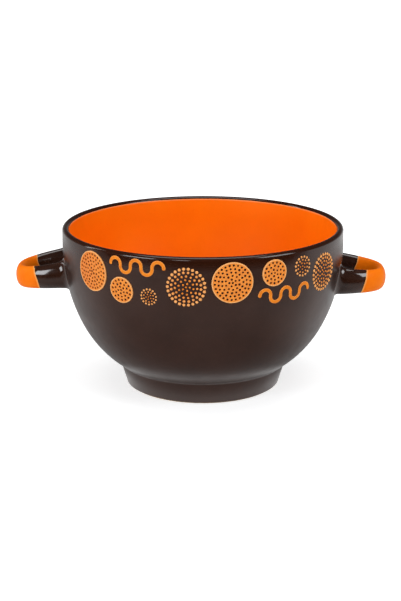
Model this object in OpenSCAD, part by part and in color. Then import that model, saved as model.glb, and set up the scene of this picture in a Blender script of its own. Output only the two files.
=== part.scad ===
// Stoneware soup bowl with two looped lug handles, in millimetres.
// The foot stands on z = 0, the bowl's axis is Z, the handles lie along X and the front faces -Y.

/* [Bowl] */
// Outer diameter at the rim
rim_d = 140; // [120:1:160]
// Height from the table to the top of the lip
bowl_h = 81.4; // [72:0.2:95]
// Thickness of the wall, glaze included, which the lip rounds off
wall = 3.5; // [2.6:0.1:5]
// Height of the upright collar, from the top of the lip down to where the belly starts to curve
collar_h = 10.3; // [6:0.1:16]
// Turn of the belly's upper curve, as a share of the turn of one arc from the collar to the foot
upper_turn_share = 0.518; // [0.42:0.002:0.6]
// Turn of the whole belly, as a share of the turn of one arc from the collar to the foot
belly_turn_share = 1.126; // [1.04:0.002:1.24]
// Height of the flat floor inside the bowl, above the table
floor_z = 9.5; // [8:0.1:13]
// Share of the inside wall's last run down to the floor that the curve into the floor takes up
floor_curve_share = 0.6; // [0.2:0.02:0.64]

/* [Foot] */
// Height of the foot, up to where the belly meets it
foot_h = 11.3; // [8:0.1:16]
// Diameter of the foot at its top
foot_top_d = 84; // [78:0.5:92]
// Distance by which the foot draws in from its top down to the table
foot_flare = 3.35; // [0.5:0.05:6]
// Radius of the hollow between the belly and the foot
cove_r = 2; // [1:0.1:4]
// Rounding of the lower outside edge of the foot
foot_round = 1.3; // [0.8:0.1:2]
// Width of the flat ring that the bowl stands on
ring_w = 3.4; // [2:0.1:6]
// Depth of the recess under the foot
recess_depth = 4.8; // [3:0.1:6]
// Rounding at the edge of the recess's ceiling
recess_round = 2.2; // [1:0.1:2.8]

/* [Glaze] */
// Thickness of every coat of glaze
glaze = 0.4; // [0.2:0.05:0.6]
// Angle round the lip, from its top inwards, at which the outer glaze meets the lining
lip_turn = 73; // [30:1:85]
// Height of the bare clay at the lower edge of the foot
foot_bare = 0.7; // [0.5:0.1:3]

/* [Handles] */
// Width of each handle across its two legs
loop_w = 38; // [30:0.5:50]
// Thickness of the strap that each handle is bent from
strap_t = 5.4; // [4:0.1:8]
// Height of the strap at the outer end of a handle
strap_tip_h = 10.9; // [8:0.1:16]
// Height of the strap where a handle meets the bowl
strap_root_h = 13.2; // [9:0.1:18]
// Squareness of the bend of a handle: 2 is an ellipse and more is squarer
loop_square = 2.4; // [2:0.1:4]
// Squareness of the strap's cross-section: 2 is an ellipse and more is squarer
strap_square = 2.5; // [2:0.1:4]
// Radius of the fillet where a handle runs into the wall
root_fillet = 3.2; // [1.5:0.1:5]
// Distance by which the left handle stands out from the rim
left_stand = 24.2; // [20:0.1:34]
// Distance by which the right handle stands out from the rim
right_stand = 21.8; // [18:0.1:34]
// Drop from the lip to the middle of each handle at its outer end
tip_drop = 26.3; // [18:0.1:32]
// Drop from the lip to the middle of the left handle at the wall
left_root_drop = 22.8; // [16:0.1:32]
// Drop from the lip to the middle of the right handle at the wall
right_root_drop = 24.8; // [16:0.1:32]
// Distance from the end of the left handle back to the edge of its dip
left_dip = 11.6; // [8:0.1:16]
// Distance from the end of the right handle back to the edge of its dip
right_dip = 12.9; // [8:0.1:15]
// Lean of the dip edges, so that the dip reaches further in at the bottom
dip_lean = 13; // [0:1:25]
// Turn of the dip edges about the upright
dip_turn = 4; // [-10:1:10]

/* [Decoration] */
// Height of the decorated band, down from the top of the lip
band_h = 24; // [20:0.5:28]
// Height by which the discs and ribbons stand off the wall
relief = 0.35; // [0.2:0.05:0.8]
// Extra height of the raised border round each disc
border_h = 0.15; // [0.05:0.05:0.4]
// Width of the raised border round each disc
border_w = 0.55; // [0.3:0.05:1]
// Diameter of the large perforated discs
large_disc_d = 19.4; // [16:0.1:21]
// Diameter of the medium perforated discs
medium_disc_d = 12.7; // [11:0.1:14]
// Diameter of the holes in the discs
hole_d = 0.8; // [0.5:0.05:1.1]
// Distance between the rings of holes
hole_pitch = 1.64; // [1.5:0.01:1.75]
// Distance between the rings of beads in a large medallion
large_bead_pitch = 1.72; // [1.5:0.01:1.9]
// Distance between the rings of beads in a medium medallion
medium_bead_pitch = 1.5; // [1.3:0.01:1.7]
// Distance between the rings of beads in a small medallion
small_bead_pitch = 1.22; // [1.1:0.01:1.4]
// Diameter of the beads in the outer ring of a large medallion
large_bead_d = 1.55; // [1:0.05:1.7]
// Diameter of the beads in the outer ring of a medium medallion
medium_bead_d = 1.2; // [0.8:0.05:1.35]
// Diameter of the beads in the outer ring of a small medallion
small_bead_d = 0.95; // [0.7:0.05:1.1]
// Height by which a bead of the outer ring stands off the wall, as a share of its diameter
bead_rise_share = 0.32; // [0.2:0.01:0.45]
// Width of the stroke of the wave ribbons
ribbon_w = 1.6; // [1:0.1:2]
// Radius of the bends of a wave ribbon, along its middle
ribbon_bend = 2.75; // [2.2:0.05:3]
// Length of the straight run between two bends
ribbon_run = 0.9; // [0.4:0.1:2]

/* [Hidden] */

// Overrun of every cut past the surface that it opens
over = 1;

// Facets of the turned forms, of the fine round shapes and of the beads
turn_fn = 180;
hole_fn = 32;
bead_fn = 40;
// Largest turn of one step of an arc, for a radius of 1, in degrees
arc_fineness = 30;

// Belly: two arcs that meet in one tangent, from the foot of the collar to the top of the foot
rim_r = rim_d / 2;
lip_r = wall / 2;
lip_z = bowl_h - lip_r;
curve_z = bowl_h - collar_h;
belly_dx = rim_r - foot_top_d / 2;
belly_dz = curve_z - foot_h;
one_arc_turn = 2 * atan(belly_dx / belly_dz);
belly_turn = upper_turn_share * one_arc_turn;
belly_end = belly_turn_share * one_arc_turn;
upper_x_share = 1 - cos(belly_turn);
lower_x_share = cos(belly_turn) - cos(belly_end);
upper_z_share = sin(belly_turn);
lower_z_share = sin(belly_end) - sin(belly_turn);
arc_det = upper_x_share * lower_z_share - lower_x_share * upper_z_share;
upper_r = (belly_dx * lower_z_share - belly_dz * lower_x_share) / arc_det;
lower_r = (belly_dz * upper_x_share - belly_dx * upper_z_share) / arc_det;
upper_c = [rim_r - upper_r, curve_z];
lower_c = upper_c + (upper_r - lower_r) * [cos(belly_turn), -sin(belly_turn)];
meet_z = curve_z - upper_r * sin(belly_turn);

// Foot: its wall leans out, and a cove rounds the corner under the belly
foot_r = foot_top_d / 2 - foot_flare;
foot_lean = atan(foot_flare / foot_h);
foot_side = [sin(foot_lean), cos(foot_lean)];
foot_out = [cos(foot_lean), -sin(foot_lean)];
cove_from = [foot_r, 0] + cove_r * foot_out - lower_c;
cove_along = cove_from * foot_side;
cove_s = -cove_along - sqrt(pow(cove_along, 2) - cove_from * cove_from + pow(lower_r + cove_r, 2));
cove_c = lower_c + cove_from + cove_s * foot_side;
edge_s = foot_round * (1 - sin(foot_lean)) / cos(foot_lean);
edge_c = [foot_r, 0] + edge_s * foot_side - foot_round * foot_out;
recess_r = edge_c.x - ring_w;

// Inside: the wall's thickness in from the belly, then straight on and round into a flat floor
inner_end = lower_c + (lower_r - wall) * [cos(belly_end), -sin(belly_end)];
floor_drop = inner_end.y - floor_z;
floor_reach = floor_curve_share * floor_drop / cos(belly_end);
floor_r = floor_reach * (1 + sin(belly_end)) / cos(belly_end);
floor_c = [inner_end.x - floor_drop * tan(belly_end) - floor_reach, floor_z + floor_r];

// Places of the decoration: shares of the way from the front round to the right handle, and of the
// height of the decorated band, down from the lip
large_disc_shares = [[-0.514, 0.5], [0.14, 0.496]];
medium_disc_shares = [[-0.347, 0.75], [0.327, 0.373]];
large_medallion_shares = [[-0.054, 0.575], [0.627, 0.588]];
medium_medallion_shares = [[0.477, 0.342]];
small_medallion_shares = [[-0.217, 0.817]];
ribbon_shares = [[-0.273, 0.25], [0.387, 0.829]];
ribbon_bends = 5;
// Rings of the round patterns, from the middle out: how many members each has, and the turn of its first one
large_ring_counts = [5, 10, 15, 20, 26];
large_disc_ring_turns = [36, 20, 2, 9, 4];
large_medallion_ring_turns = [-1, 24, 17, 10, 0];
medium_ring_counts = [5, 10, 15];
medium_ring_turns = [41, 20, 6];
// Diameter of the innermost beads, as a share of the outermost ones
inner_bead_share = 0.66;

// Handles: steps along the bend and sides of the cross-section
loop_steps = 44;
strap_sides = 20;
// Depth inside the rim at which the bend starts, and the strap itself, as shares of the wall
bend_depth_share = 1.7;
strap_depth_share = 3.2;
left_reach = rim_r + left_stand;
right_reach = rim_r + right_stand;
bend_x = rim_r - bend_depth_share * wall;
strap_x = rim_r - strap_depth_share * wall;

// Radius of the outer wall at height z
function wall_r(z) =
  z >= curve_z ? rim_r :
  z >= meet_z ? upper_c.x + sqrt(pow(upper_r, 2) - pow(curve_z - z, 2)) :
  lower_c.x + sqrt(pow(lower_r, 2) - pow(lower_c.y - z, 2));

// Angle by which the outer wall at height z faces downward
function wall_tilt(z) =
  z >= curve_z ? 0 :
  z >= meet_z ? asin((curve_z - z) / upper_r) :
  asin((lower_c.y - z) / lower_r);

// Point at radius r and angle a, downward from the level, about centre c
function polar(c, r, a) = c + r * [cos(a), -sin(a)];

// Points of an arc about centre c from angle a to angle b, both downward from the level
function arc(c, r, a, b) =
  let (steps = max(1, ceil(abs(b - a) * sqrt(r) / arc_fineness)))
  [for (i = [0:steps]) polar(c, r, a + (b - a) * i / steps)];

// Points in the opposite order
function back(points) = [for (i = [len(points) - 1:-1:0]) points[i]];

// Half-outline of the outside, inset by d, from the foot of the lip down to the table
function outer_line(d) =
  let (cove_angle = atan2(lower_c.y - cove_c.y, cove_c.x - lower_c.x))
  concat(
    [[rim_r - d, lip_z]],
    arc(upper_c, upper_r - d, 0, belly_turn),
    arc(lower_c, lower_r - d, belly_turn, cove_angle),
    arc(cove_c, cove_r + d, 180 + cove_angle, 180 + foot_lean),
    arc(edge_c, foot_round - d, foot_lean, 90),
    [[edge_c.x, 0]]
  );

// Half-outline of the hollow inside, at a distance d in from the outside of the bowl
function hollow_line(d) =
  concat(
    [[rim_r - d, lip_z]],
    arc(upper_c, upper_r - d, 0, belly_turn),
    arc(lower_c, lower_r - d, belly_turn, belly_end),
    arc(floor_c, floor_r + wall - d, belly_end, 90),
    [[0, floor_z - wall + d]]
  );

// Half-outline of the recess under the foot, grown by d, from its ceiling out and down
function recess_line(d) =
  let (corner = [recess_r - recess_round, recess_depth - recess_round])
  concat([[0, recess_depth + d]], arc(corner, recess_round + d, -90, 0), [[recess_r + d, 0]]);

// Arc of the lip, inset by d, between two angles: 0 is outside, 90 on top and 180 inside
function lip_line(d, a, b) = arc([rim_r - lip_r, lip_z], lip_r - d, -a, -b);

module turned() {
  rotate_extrude($fn = turn_fn) children();
}

// Solid form of the outside below the lip, inset by d, hollow and recess filled
module outside(d) {
  turned() polygon(concat([[0, lip_z]], outer_line(d), [[0, 0]]));
}

// Clay of the bowl: everything that was thrown and trimmed on the wheel
module bowl_body() {
  color([0.80, 0.70, 0.56]) turned()
    polygon(concat(
      recess_line(glaze), back(outer_line(glaze)),
      lip_line(glaze, 0, 90), lip_line(glaze, 90, 90 + lip_turn), lip_line(glaze, 90 + lip_turn, 180),
      hollow_line(wall - glaze)
    ));
}

// Lining of the bowl, from the inner edge of the lip down to the floor
module lining_glaze() {
  color([0.96, 0.36, 0.02]) turned()
    polygon(concat(
      lip_line(glaze, 90 + lip_turn, 180), hollow_line(wall - glaze),
      back(hollow_line(wall)), lip_line(0, 180, 90 + lip_turn)
    ));
}

// Outer coat, over the lip and down to the bare edge of the foot, open where the handles stand
module outer_glaze() {
  color([0.24, 0.17, 0.15]) difference() {
    turned() difference() {
      polygon(concat(
        lip_line(0, 90 + lip_turn, 90), lip_line(0, 90, 0), outer_line(0),
        back(outer_line(glaze)), lip_line(glaze, 0, 90), lip_line(glaze, 90, 90 + lip_turn)
      ));
      translate([0, -over]) square([rim_r, foot_bare + over]);
    }
    right_strap(0);
    left_strap(0);
  }
}

// Coat inside the recess of the foot
module recess_glaze() {
  color([0.24, 0.17, 0.15]) turned() difference() {
    polygon(concat(recess_line(glaze), back(recess_line(0))));
    translate([0, -over]) square([rim_r, foot_bare + over]);
  }
}

// Point of a handle's bend, seen from above, at angle t from its outer end
function bend_point(a, b, t) =
  let (k = pow(pow(abs(cos(t)) / a, loop_square) + pow(abs(sin(t)) / b, loop_square), -1 / loop_square))
  k * [cos(t), sin(t)];

// Direction square to the bend at point p
function bend_normal(a, b, p) =
  let (n = [pow(abs(p.x) / a, loop_square - 1) / a, sign(p.y) * pow(abs(p.y) / b, loop_square - 1) / b])
  n / norm(n);

// Stations along a handle: middle of the strap from above and the direction square to it
function stations(reach) =
  let (
    a = reach - strap_t / 2 - bend_x,
    b = (loop_w - strap_t) / 2,
    step = 180 / loop_steps,
    bend = [for (i = [0:loop_steps]) bend_point(a, b, i * step - 90)]
  )
  concat(
    [[[strap_x, -b], [0, -1]]],
    [for (p = bend) [[bend_x, 0] + p, bend_normal(a, b, p)]],
    [[[strap_x, b], [0, 1]]]
  );

// Growth of the strap at distance s off the wall, which makes the fillet at its root
function fillet_growth(s) =
  s >= root_fillet ? 0 :
  s <= 0 ? root_fillet :
  root_fillet - sqrt(pow(root_fillet, 2) - pow(root_fillet - s, 2));

// Half-size along one axis of a squared ellipse, for the cosine or sine c of its angle
function squared(c) = sign(c) * pow(abs(c), 2 / strap_square);

// Cross-section of the strap at one station, inset by d
function section(station, reach, root_z, tip_z, d) =
  let (
    p = station[0],
    n = station[1],
    run = min(1, (reach - p.x) / (reach - rim_r)),
    grow = fillet_growth(norm(p) - wall_r(root_z)) - d,
    half_t = strap_t / 2 + grow,
    half_h = (strap_tip_h + (strap_root_h - strap_tip_h) * pow(run, 2)) / 2 + grow,
    mid_z = tip_z + (root_z - tip_z) * run
  )
  [for (j = [0:strap_sides - 1])
    let (t = 360 * j / strap_sides, out = half_t * squared(cos(t)))
    [p.x + n.x * out, p.y + n.y * out, mid_z + half_h * squared(sin(t))]];

// Strap of one handle, from inside the wall round its bend and back, inset by d
module strap(reach, root_drop, d) {
  path = stations(reach);
  last = len(path) - 1;
  sides = strap_sides;
  points = [for (s = path) each section(s, reach, bowl_h - root_drop, bowl_h - tip_drop, d)];
  skin = [for (i = [0:last - 1], j = [0:sides - 1])
    let (a = i * sides + j, b = i * sides + (j + 1) % sides)
    each [[a, b, b + sides], [a, b + sides, a + sides]]];
  first_cap = [[for (j = [0:sides - 1]) sides - 1 - j]];
  last_cap = [[for (j = [0:sides - 1]) last * sides + j]];
  polyhedron(points, concat(skin, first_cap, last_cap));
}

module right_strap(d) {
  strap(right_reach, right_root_drop, d);
}

module left_strap(d) {
  mirror([1, 0, 0]) strap(left_reach, left_root_drop, d);
}

// Everything beyond the edge of the dip, at distance x from the axis, for a handle that points along X
module dipped(x, turn) {
  far = rim_d;
  translate([x, 0, bowl_h - tip_drop]) rotate([0, dip_lean, turn])
    translate([0, -far / 2, -far / 2]) cube(far);
}

// Clay of a handle, luted on the clay of the wall
module right_handle() {
  color([0.80, 0.70, 0.56]) difference() {
    right_strap(glaze);
    outside(glaze);
  }
}

module left_handle() {
  color([0.80, 0.70, 0.56]) difference() {
    left_strap(glaze);
    outside(glaze);
  }
}

// Dark coat on the legs of a handle, from the wall out to the edge of the dip
module right_root_glaze() {
  color([0.17, 0.09, 0.06]) difference() {
    right_strap(0);
    right_strap(glaze);
    outside(glaze);
    dipped(right_reach - right_dip, dip_turn);
  }
}

module left_root_glaze() {
  color([0.17, 0.09, 0.06]) difference() {
    left_strap(0);
    left_strap(glaze);
    outside(glaze);
    mirror([1, 0, 0]) dipped(left_reach - left_dip, -dip_turn);
  }
}

// Bright coat on the dipped end of a handle
module right_tip_glaze() {
  color([0.96, 0.48, 0.10]) intersection() {
    difference() {
      right_strap(0);
      right_strap(glaze);
    }
    dipped(right_reach - right_dip, dip_turn);
  }
}

module left_tip_glaze() {
  color([0.96, 0.48, 0.10]) intersection() {
    difference() {
      left_strap(0);
      left_strap(glaze);
    }
    mirror([1, 0, 0]) dipped(left_reach - left_dip, -dip_turn);
  }
}

// Coat of height h on the outer wall, over the height that the decoration can cover
module wall_coat(h) {
  low_z = bowl_h - band_h - large_disc_d / 2;
  turned() intersection() {
    polygon(concat(outer_line(-h), back(outer_line(0))));
    translate([0, low_z]) square([rim_d, lip_z - low_z]);
  }
}

// Turns and lifts a shape drawn flat on to the outer wall, facing out
module on_wall(turn, z) {
  rotate([0, 0, turn]) translate([0, -wall_r(z), z]) rotate([90 + wall_tilt(z), 0, 0]) children();
}

// Turn about the axis and height of a place in the decorated band
function place_turn(shares, side) = side + 90 * shares[0];
function place_z(shares) = bowl_h - band_h * shares[1];

// Flat outline pressed through a coat of height h on the wall
module pressed(shares, side, h) {
  intersection() {
    wall_coat(h);
    on_wall(place_turn(shares, side), place_z(shares))
      translate([0, 0, -wall]) linear_extrude(2 * wall + h) children();
  }
}

// Angle of each member of ring k of a round pattern
function ring_angles(counts, turns, k) = [for (i = [0:counts[k] - 1]) turns[k] + 360 * i / counts[k]];

// Places the members of a round pattern, one in the middle and the others in rings
module ring_pattern(counts, turns, pitch) {
  children();
  for (k = [0:len(counts) - 1], t = ring_angles(counts, turns, k))
    rotate(t) translate([(k + 1) * pitch, 0]) children();
}

// Round disc with rings of holes and a raised border
module perforated_disc(shares, side, d, counts, turns) {
  pressed(shares, side, relief) difference() {
    circle(d = d, $fn = turn_fn);
    ring_pattern(counts, turns, hole_pitch) circle(d = hole_d, $fn = hole_fn);
  }
  pressed(shares, side, relief + border_h) difference() {
    circle(d = d, $fn = turn_fn);
    circle(d = d - 2 * border_w, $fn = turn_fn);
  }
}

module large_discs(side) {
  color([0.90, 0.53, 0.24])
    for (shares = large_disc_shares)
      perforated_disc(shares, side, large_disc_d, large_ring_counts, large_disc_ring_turns);
}

module medium_discs(side) {
  color([0.90, 0.53, 0.24])
    for (shares = medium_disc_shares)
      perforated_disc(shares, side, medium_disc_d, medium_ring_counts, medium_ring_turns);
}

// Dome with a flat foot of diameter d, of height h
module bead(d, h) {
  ball_r = (pow(d / 2, 2) + pow(h, 2)) / (2 * h);
  rotate_extrude($fn = bead_fn) intersection() {
    translate([0, h - ball_r]) circle(ball_r, $fn = turn_fn);
    square([d / 2, h]);
  }
}

// Bead on the wall, at angle t and distance r from the middle of its medallion
module placed_bead(shares, side, t, r, d) {
  z = place_z(shares) + r * sin(t);
  around = r * cos(t) / wall_r(z) * 180 / PI;
  on_wall(place_turn(shares, side) + around, z) bead(d, d * bead_rise_share);
}

// Rings of domed beads on the wall, the beads smaller towards the middle
module medallion(shares, side, counts, turns, pitch, outer_d) {
  inner_d = outer_d * inner_bead_share;
  rings = len(counts);
  placed_bead(shares, side, 0, 0, inner_d);
  for (k = [0:rings - 1], t = ring_angles(counts, turns, k))
    placed_bead(shares, side, t, (k + 1) * pitch, inner_d + (outer_d - inner_d) * (k + 1) / rings);
}

module large_medallions(side) {
  color([0.93, 0.60, 0.28])
    for (shares = large_medallion_shares)
      medallion(shares, side, large_ring_counts, large_medallion_ring_turns, large_bead_pitch, large_bead_d);
}

module medium_medallion(side) {
  color([0.93, 0.60, 0.28])
    for (shares = medium_medallion_shares)
      medallion(shares, side, medium_ring_counts, medium_ring_turns, medium_bead_pitch, medium_bead_d);
}

module small_medallion(side) {
  color([0.93, 0.60, 0.28])
    for (shares = small_medallion_shares)
      medallion(shares, side, medium_ring_counts, medium_ring_turns, small_bead_pitch, small_bead_d);
}

// Outline of a wave: half rings that turn up and down in turn, joined by straight runs
module wave_outline() {
  outer = ribbon_bend + ribbon_w / 2;
  inner = ribbon_bend - ribbon_w / 2;
  length = 2 * ribbon_bend * ribbon_bends;
  translate([-length / 2, 0]) {
    for (i = [0:ribbon_bends - 1]) {
      up = i % 2 == 0;
      translate([ribbon_bend * (2 * i + 1), 0]) mirror([0, up ? 0 : 1]) translate([0, ribbon_run / 2])
        intersection() {
          difference() {
            circle(outer, $fn = turn_fn);
            circle(inner, $fn = turn_fn);
          }
          translate([-outer, 0]) square([2 * outer, outer]);
        }
    }
    for (i = [0:ribbon_bends])
      translate([2 * ribbon_bend * i - ribbon_w / 2, -ribbon_run / 2]) square([ribbon_w, ribbon_run]);
    for (end = [[0, -1], [length, ribbon_bends % 2 == 0 ? 1 : -1]])
      translate([end.x, end.y * ribbon_run / 2]) circle(d = ribbon_w, $fn = hole_fn);
  }
}

module wave_ribbons(side) {
  color([0.93, 0.55, 0.20])
    for (shares = ribbon_shares) pressed(shares, side, relief) wave_outline();
}

bowl_body();
lining_glaze();
outer_glaze();
recess_glaze();
left_handle();
left_root_glaze();
left_tip_glaze();
right_handle();
right_root_glaze();
right_tip_glaze();
large_discs(0);  // front_large_discs
medium_discs(0);  // front_medium_discs
large_medallions(0);  // front_large_medallions
medium_medallion(0);  // front_medium_medallion
small_medallion(0);  // front_small_medallion
wave_ribbons(0);  // front_wave_ribbons
large_discs(180);  // back_large_discs
medium_discs(180);  // back_medium_discs
large_medallions(180);  // back_large_medallions
medium_medallion(180);  // back_medium_medallion
small_medallion(180);  // back_small_medallion
wave_ribbons(180);  // back_wave_ribbons
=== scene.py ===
"""Soup bowl of glazed stoneware with two looped lug handles, dressed on its CAD frame, in metres."""
import bmesh
import bpy
import random
from bisect import bisect
from math import asin, atan, atan2, ceil, copysign, cos, degrees, hypot, pi, radians, sin, sqrt, tan
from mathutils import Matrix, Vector, geometry


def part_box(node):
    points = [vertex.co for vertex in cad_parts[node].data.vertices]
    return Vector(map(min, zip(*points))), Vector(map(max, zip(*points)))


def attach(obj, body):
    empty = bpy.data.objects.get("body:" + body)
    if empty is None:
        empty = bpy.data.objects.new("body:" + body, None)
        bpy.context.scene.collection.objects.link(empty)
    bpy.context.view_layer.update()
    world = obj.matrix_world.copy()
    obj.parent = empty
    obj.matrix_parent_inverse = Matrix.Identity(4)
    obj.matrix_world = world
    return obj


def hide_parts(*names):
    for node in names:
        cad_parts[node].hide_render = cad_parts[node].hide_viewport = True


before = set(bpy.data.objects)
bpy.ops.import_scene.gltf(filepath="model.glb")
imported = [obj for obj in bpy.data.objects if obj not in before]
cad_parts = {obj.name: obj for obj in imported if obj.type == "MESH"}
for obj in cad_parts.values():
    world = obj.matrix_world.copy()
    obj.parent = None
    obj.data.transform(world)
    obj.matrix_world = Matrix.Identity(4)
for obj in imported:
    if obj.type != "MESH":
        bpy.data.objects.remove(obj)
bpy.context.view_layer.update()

# Bowl: turns are in degrees, and sway is how far a hand-made edge wanders
outer_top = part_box("outer_glaze")[1]
RIM_R = round(outer_top.x, 5)
BOWL_H = round(outer_top.z, 5)
WALL = 0.0035
COLLAR_H = 0.0103
UPPER_TURN_SHARE = 0.518
BELLY_TURN_SHARE = 1.126
FLOOR_Z = 0.0095
FLOOR_CURVE_SHARE = 0.6
FLOOR_RINGS = (0.015, 0.008, 0)
FOOT_H = 0.0113
FOOT_TOP_R = 0.042
FOOT_FLARE = 0.00335
COVE_R = 0.002
FOOT_ROUND = 0.0013
RING_W = 0.0034
RECESS_DEPTH = 0.0048
RECESS_ROUND = 0.0022
RECESS_RINGS = (0, 0.016)
GLAZE = 0.0004
LIP_TURN = 73
SEAM_SWAY = 1.6
FOOT_BARE = 0.0007
FOOT_SWAY = 0.00012
COAT_ROUND_SHARE = 0.4

# Handles: drops are below the rim, and dips are lengths of the orange end
LEFT_REACH = round(-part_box("left_tip_glaze")[0].x, 5)
RIGHT_REACH = round(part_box("right_tip_glaze")[1].x, 5)
LOOP_W = 0.038
LOOP_START = 1.7 * WALL
LEG_START = 3.2 * WALL
LOOP_SQUARE = 2.4
STRAP_T = 0.0054
STRAP_TIP_H = 0.0109
STRAP_ROOT_H = 0.0132
STRAP_SQUARE = 2.05
ROOT_FILLET = 0.0032
UNDER_TIGHTER = 0.0017
TIP_DROP = 0.0263
LEFT_ROOT_DROP = 0.0228
RIGHT_ROOT_DROP = 0.0248
LEFT_DIP = 0.0116
RIGHT_DIP = 0.0137
LEFT_LEAN = 13
RIGHT_LEAN = 16
DIP_TURN = 5
DIP_SWAY = 0.00016
DIP_RIPPLE = 0.00007
LEG_SWELL = 0.0004
LEG_SWELL_START_SHARE = 0.12
LEG_SWELL_SHARE = 0.4
LEFT_BEND_SWELL = 0.0018
RIGHT_BEND_SWELL = 0.0004
BEND_SHARE = 0.4
# A leg's coat thins towards the dip, and the dipped coat has a rounded edge: distance along, height
THINNING = 0.00007
THINNING_RUN = 0.0025
TIP_EDGE = ((0, -GLAZE), (-0.00004, -0.00012), (0.00002, -0.00004), (0.0001, 0), (0.0003, 0), (0.0006, 0))
# Gap between the clay and its coats, and how far each goes into the wall
CORE_GAP = 0.00002
CORE_SUNK = 0.001
COAT_SUNK = 0.0001

# Decoration: places are shares of the quarter turn from front to right handle, and of the band's height
BAND_H = 0.024
RELIEF = 0.00035
SINK = 0.00004
BORDER_H = 0.00015
BORDER_W = 0.00055
LARGE_DISC_R = 0.0097
MEDIUM_DISC_R = 0.00635
HOLE_R = 0.00053
HOLE_PITCH = 0.00164
HOLE_SHIFT = 0.00006
LARGE_COUNTS = (5, 10, 15, 20, 26)
MEDIUM_COUNTS = (5, 10, 15)
LARGE_DISCS = ((-0.514, 0.5), (0.14, 0.496))
LARGE_DISC_TURNS = (36, 20, 2, 9, 4)
MEDIUM_DISCS = ((-0.347, 0.75), (0.327, 0.373))
MEDIUM_TURNS = (41, 20, 6)
LARGE_MEDALLIONS = ((-0.054, 0.575), (0.627, 0.588))
LARGE_MEDALLION_TURNS = (-1, 24, 17, 10, 0)
MEDIUM_MEDALLIONS = ((0.477, 0.342),)
SMALL_MEDALLIONS = ((-0.217, 0.817),)
LARGE_PITCH = 0.00172
LARGE_BEAD_D = 0.00155
MEDIUM_PITCH = 0.0015
MEDIUM_BEAD_D = 0.0012
SMALL_PITCH = 0.00122
SMALL_BEAD_D = 0.00102
INNER_BEAD_SHARE = 0.62
BEAD_RISE_SHARE = 0.32
BEAD_SHIFT = 0.00004
BEAD_TURN = 0.02
BEAD_PALE_SHARES = (0.65, 0.12)
BEAD_SUNK = 0.0001
RIBBONS = ((-0.273, 0.25), (0.387, 0.829))
RIBBON_W = 0.0016
RIBBON_BEND = 0.00275
RIBBON_RUN = 0.0009
RIBBON_BENDS = 5
RIBBON_SHOULDER_SHARE = 0.72
RIBBON_EDGE_SHARE = 0.55
RIBBON_END_SHARE = 0.55
RIBBON_ACROSS_SHARES = (-1, -0.93, -0.75, -0.5, -0.2, 0.2, 0.5, 0.75, 0.93, 1)

# Profiles of the decoration: distance from its outline, height and paleness
border_top = RELIEF + BORDER_H
DISC_EDGE = ((0, -SINK, 0.3), (0, RELIEF * 0.75, 0.6), (0.00006, border_top * 0.88, 0.8),
             (0.00018, border_top, 0.9), (BORDER_W - 0.00016, border_top, 0.85),
             (BORDER_W - 0.00003, RELIEF + 0.00008, 0.5), (BORDER_W + 0.00007, RELIEF, 0.1))
HOLE_EDGE = ((0.0001, RELIEF, 0.2), (0.00003, RELIEF - 0.00003, 0.05), (0, RELIEF - 0.0001, 0), (0, -SINK, 0))

# Fineness of the meshes
LATHE_SIDES = 256
RECESS_SIDES = 128
WALL_STEP = 0.0009
COVE_STEP = 0.0003
RECESS_STEP = 0.0004
FOOT_EDGE_STEPS = 8
LIP_STEPS = 20
SEAM_STEPS = 4
SECTION_SIDES = 48
LEG_STEPS = 60
LOOP_STEPS = 720
FILLET_STEPS = 8
SLEEVE_STEPS = 26
TIP_STEPS = 64
CORE_STEPS = 90
DISC_SIDES = 96
HOLE_SIDES = 14
BEAD_SIDES = 14
RIBBON_STEPS = 22
RIBBON_END_STEPS = 8
HALVINGS = 26
LAY_STEPS = 5
MM = 1000


# Outline of the bowl: points are (distance from the axis, height), angles are degrees down from the level
def polar(centre, r, angle):
    return (centre[0] + r * cos(radians(angle)), centre[1] - r * sin(radians(angle)))


def arc(centre, r, a, b, step=WALL_STEP, count=None):
    n = count or max(3, ceil(abs(radians(b - a)) * r / step))
    return [polar(centre, r, a + (b - a) * i / n) for i in range(n + 1)]


# Two arcs make the belly: their radii follow from its width, its height and their turns
CURVE_Z = BOWL_H - COLLAR_H
belly_dx = RIM_R - FOOT_TOP_R
belly_dz = CURVE_Z - FOOT_H
one_arc_turn = 2 * degrees(atan(belly_dx / belly_dz))
BELLY_TURN = UPPER_TURN_SHARE * one_arc_turn
BELLY_END = BELLY_TURN_SHARE * one_arc_turn
upper_end, lower_end = radians(BELLY_TURN), radians(BELLY_END)
upper_x, lower_x = 1 - cos(upper_end), cos(upper_end) - cos(lower_end)
upper_z, lower_z = sin(upper_end), sin(lower_end) - sin(upper_end)
determinant = upper_x * lower_z - lower_x * upper_z
UPPER_R = (belly_dx * lower_z - belly_dz * lower_x) / determinant
LOWER_R = (belly_dz * upper_x - belly_dx * upper_z) / determinant
UPPER_C = (RIM_R - UPPER_R, CURVE_Z)
LOWER_C = polar(UPPER_C, UPPER_R - LOWER_R, BELLY_TURN)

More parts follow.
